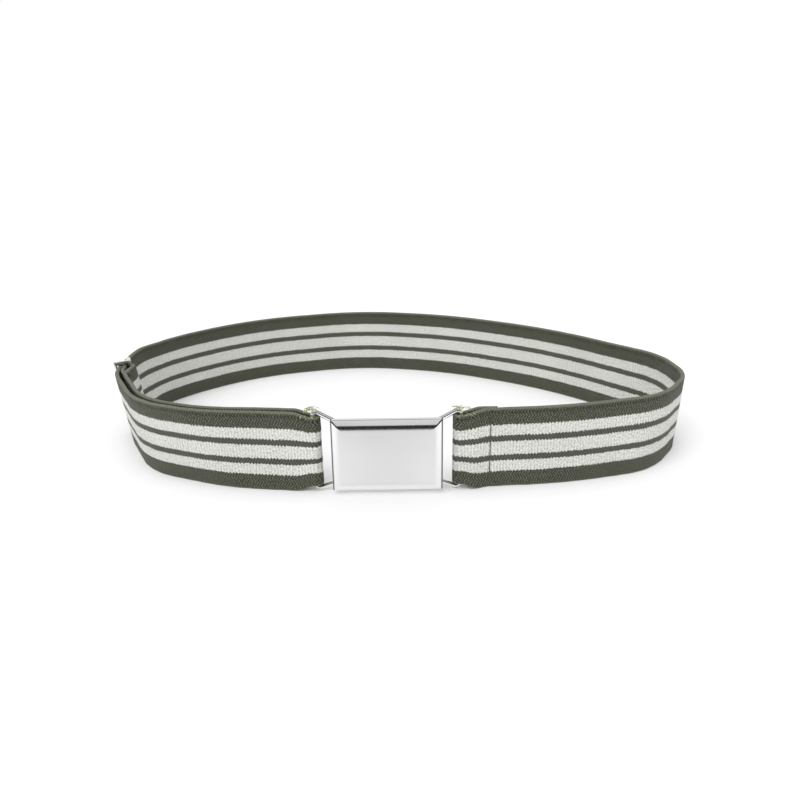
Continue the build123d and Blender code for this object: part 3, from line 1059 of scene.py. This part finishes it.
# ------------------------------------------------------- carried-over CAD nodes

CAD_FINISHES = {
    "left_ring": "ring", "right_ring": "ring",
    "base_plate": "plate", "clasp_studs": "plate", "cover_rivets": "plate",
    "catch_plate": "plate", "magnet_cup": "plate",
    "cover_magnet": "magnet", "catch_magnet": "magnet",
}


def finish_cad_nodes():
    """Gives each CAD part that shows as it is its own material."""
    for name, finish in CAD_FINISHES.items():
        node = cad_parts[name]
        node.data.materials.clear()
        node.data.materials.append(MATERIALS[finish])


# ------------------------------------------------------------ floor and light

CAMERA_AT = (3.5, -255.5, 105.6)
CAMERA_PITCH = 21.0
CAMERA_ROLL = -0.83
FOCAL_SHARE = 0.95  # focal length over the picture's width
SENSOR = 36.0
CLIP = (0.01, 20.0)  # metres
FLOOR_HALF = 3.0  # metres
FLOOR_TONES = (0.93, 0.93, 0.93, 1), (0.95, 0.95, 0.95, 1)
SKY = (0.90, 0.90, 0.91, 1.0)
PANEL_LIGHT = (0.84, 0.84, 0.84, 1.0)
PANEL_DARK = (0.02, 0.02, 0.02, 1.0)
WHITE = (1.0, 1.0, 1.0, 1)
KEY_POWER = 1.3
KEY_SPREAD = 50
KEY_TILT = (32, -22)

# Heights and depths on the sky, from -1 to 1, that the dark panels cover
PANEL_HEIGHT = (-0.5, 0.60)
PANEL_AHEAD = (-1.5, -0.42)
OVERHEAD = (0.90, 1.5)
OVERHEAD_SHARE = 0.75


def camera():
    """In front of the belt, a little to the right of its middle, looking down at it."""
    data = bpy.data.cameras.new("camera")
    data.sensor_width = SENSOR
    data.lens = SENSOR * FOCAL_SHARE
    data.clip_start, data.clip_end = CLIP
    view = bpy.data.objects.new("camera", data)
    bpy.context.scene.collection.objects.link(view)
    turn = Matrix.Rotation(math.radians(90 - CAMERA_PITCH), 4, "X")
    turn = turn @ Matrix.Rotation(math.radians(CAMERA_ROLL), 4, "Z")
    view.matrix_world = Matrix.Translation([c * MM for c in CAMERA_AT]) @ turn
    bpy.context.scene.camera = view


def floor():
    """A pale matt floor."""
    size = FLOOR_HALF
    mesh = bpy.data.meshes.new("floor")
    corners = [(-size, -size, 0), (size, -size, 0), (size, size, 0), (-size, size, 0)]
    mesh.from_pydata(corners, [], [(0, 1, 2, 3)])
    ground = bpy.data.objects.new("floor", mesh)
    bpy.context.scene.collection.objects.link(ground)
    material, tree, shader = node_material("floor")
    n = Nodes(tree)
    grain = n.noise(n.place(), 40.0, 2.0)
    n.put(shader.inputs["Base Color"], n.mix(grain, *FLOOR_TONES))
    shader.inputs["Roughness"].default_value = 0.9
    shader.inputs["Specular IOR Level"].default_value = 0.1
    mesh.materials.append(material)


def studio():
    """Even pale light; polished metal also sees a dark panel in front and one overhead."""
    world = bpy.data.worlds.new("studio")
    bpy.context.scene.world = world
    world.use_nodes = True
    tree = world.node_tree
    n = Nodes(tree)
    background = tree.nodes["Background"]
    _, depth, height = n.split(n.add("ShaderNodeTexCoord").outputs["Generated"])
    low = n.between(height, *PANEL_HEIGHT, 0.03)
    ahead = n.between(depth, *PANEL_AHEAD, 0.04)
    overhead = n.math("MULTIPLY", n.between(height, *OVERHEAD, 0.02), OVERHEAD_SHARE)
    panels = n.math("MAXIMUM", n.math("MULTIPLY", low, ahead), overhead)
    seen = n.mix(panels, PANEL_LIGHT, PANEL_DARK)
    path = n.add("ShaderNodeLightPath")
    colour = n.mix(path.outputs["Is Glossy Ray"], SKY, seen)
    n.put(background.inputs["Color"], n.mix(path.outputs["Is Camera Ray"], colour, WHITE))
    background.inputs["Strength"].default_value = 1.0
    sun = bpy.data.lights.new("key", "SUN")
    sun.energy = KEY_POWER
    sun.angle = math.radians(KEY_SPREAD)
    lamp = bpy.data.objects.new("key", sun)
    lamp.rotation_euler = (*(math.radians(angle) for angle in KEY_TILT), 0)
    lamp.visible_glossy = False
    bpy.context.scene.collection.objects.link(lamp)
    bpy.context.scene.view_settings.view_transform = "Standard"


camera()
floor()
studio()
reached = main_band()
reached = left_doubled(reached)
slider_tab(reached)
right_seam()
tab_seam()
slider()
tuft("left_fold_tuft", LEFT_BAR_X, -1, "left_strap", 3)
tuft("right_fold_tuft", RIGHT_BAR_X, 1, "right_strap", 8)
cover()
finish_cad_nodes()
